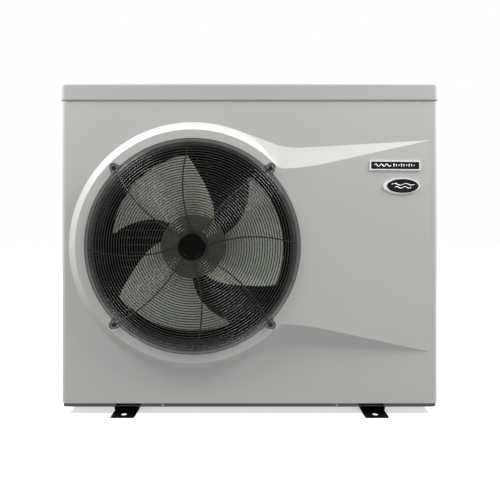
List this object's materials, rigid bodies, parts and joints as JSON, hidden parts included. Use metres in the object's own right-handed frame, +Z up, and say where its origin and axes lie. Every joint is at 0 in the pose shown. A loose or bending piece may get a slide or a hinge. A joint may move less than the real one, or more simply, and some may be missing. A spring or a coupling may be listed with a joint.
{
  "type": "pool heat pump unit",
  "caption": "Box-shaped outdoor pool heat pump with a round fan guard in a raised front field, top cover, hat-rail feet and rear water unions.",
  "frame": {"origin": "on the ground, midway between the four foot holes", "axes": "+Z up, +X to the right seen from the front, the front faces -Y"},
  "size_m": [1.004, 0.4998, 0.878],
  "materials": {
    "panel_white": "fine satin powder coat, light grey",
    "lid_white": "satin powder coat, light grey",
    "pan_grey": "matte grey coat",
    "foot_black": "matte black coat",
    "zinc_screws": "zinc-plated",
    "guard_black": "satin black coat",
    "guard_cap_black": "fine-grained black moulding",
    "guard_screw_steel": "black screw",
    "duct_grey": "dark grey coat",
    "blade_sage": "pale grey-green moulding",
    "motor_dark": "olive-grey coat",
    "stator_metal": "cast",
    "bearing_steel": "ground",
    "coil_fin": "coated fins",
    "coil_plate": "galvanised",
    "copper": "drawn copper, dulled",
    "galvanised": "galvanised sheet",
    "grid_black": "black coated wire",
    "compressor_black": "satin black enamel",
    "rubber_black": "matte",
    "cap_black": "grained",
    "pvc_grey": "grey PVC",
    "titanium": "titanium tube",
    "brass_body": "cast brass",
    "solenoid_black": "potted coil",
    "drier_copper": "copper shell",
    "board_green": "solder mask",
    "can_blue": "sleeved",
    "terminal_cream": "moulded",
    "badge_silver": "satin silver",
    "badge_black": "gloss black",
    "controller_grey": "grained",
    "screen_glass": "dark display window",
    "flap_clear": "smoked clear cover",
    "pin_steel": "ground",
    "button_grey": "soft-touch"
  },
  "bodies": {
    "cabinet": {"badge_faces": "badge_black", "bar_badge_plate": "badge_silver", "base_pan": "pan_grey", "cabinet_screws": "zinc_screws", "cable_gland": "cap_black", "coil_end_plates": "coil_plate", "coil_return_bends": "copper", "compressor": "compressor_black", "compressor_foot": "galvanised", "compressor_grommets": "rubber_black", "compressor_terminal_cap": "cap_black", "control_board": "board_green", "controller_housing": "controller_grey", "controller_screen": "screen_glass", "drain_spigot": "pvc_grey", "electrical_box": "galvanised", "electrical_box_cover": "galvanised", "evaporator_coil": "coil_fin", "exchanger_caps": "pvc_grey", "exchanger_shell": "pvc_grey", "expansion_valve": "brass_body", "fan_duct_ring": "duct_grey", "fan_guard": "guard_black", "filter_drier": "drier_copper", "flap_hinge_pin": "pin_steel", "flow_switch": "cap_black", "foot_bolts": "zinc_screws", "foot_left": "foot_black", "foot_right": "foot_black", "four_way_valve": "brass_body", "front_panel": "panel_white", "gas_pipes": "copper", "guard_cap": "guard_cap_black", "guard_screws": "guard_screw_steel", "left_coil_guard": "grid_black", "left_side_frame": "panel_white", "liquid_pipes": "copper", "motor_bearings": "bearing_steel", "motor_stator": "stator_metal", "oval_badge_plate": "badge_silver", "partition_plate": "galvanised", "rear_coil_guard": "grid_black", "rear_service_panel": "panel_white", "right_side_panel": "panel_white", "smoothing_capacitors": "can_blue", "suction_accumulator": "compressor_black", "terminal_block": "terminal_cream", "titanium_coil": "titanium", "top_cover": "lid_white", "union_nuts": "pvc_grey", "valve_solenoid": "solenoid_black", "water_inlet": "pvc_grey", "water_outlet": "pvc_grey"},
    "fan": {"fan_impeller": "blade_sage", "motor_rotor": "motor_dark"},
    "flap": {"controller_flap": "flap_clear"},
    "power_button": {"button_power": "button_grey"},
    "mode_button": {"button_mode": "button_grey"},
    "up_button": {"button_up": "button_grey"},
    "down_button": {"button_down": "button_grey"}
  },
  "joints": [
    {"name": "fan_spin", "type": "hinge", "parent": "cabinet", "child": "fan", "pos_m": [-0.149, -0.18, 0.445], "axis": [0, -1, 0], "continuous": true},
    {"name": "flap_hinge", "type": "hinge", "parent": "cabinet", "child": "flap", "pos_m": [0.495, -0.06, 0.6078], "axis": [0, -1, 0], "range_deg": [0, 100]},
    {"name": "power_press", "type": "slide", "parent": "cabinet", "child": "power_button", "axis": [-1, 0, 0], "range_m": [0, 0.0012], "stiffness_N_per_m": 400, "springref_m": -0.0003},
    {"name": "mode_press", "type": "slide", "parent": "cabinet", "child": "mode_button", "axis": [-1, 0, 0], "range_m": [0, 0.0012], "stiffness_N_per_m": 400, "springref_m": -0.0003},
    {"name": "up_press", "type": "slide", "parent": "cabinet", "child": "up_button", "axis": [-1, 0, 0], "range_m": [0, 0.0012], "stiffness_N_per_m": 400, "springref_m": -0.0003},
    {"name": "down_press", "type": "slide", "parent": "cabinet", "child": "down_button", "axis": [-1, 0, 0], "range_m": [0, 0.0012], "stiffness_N_per_m": 400, "springref_m": -0.0003}
  ]
}
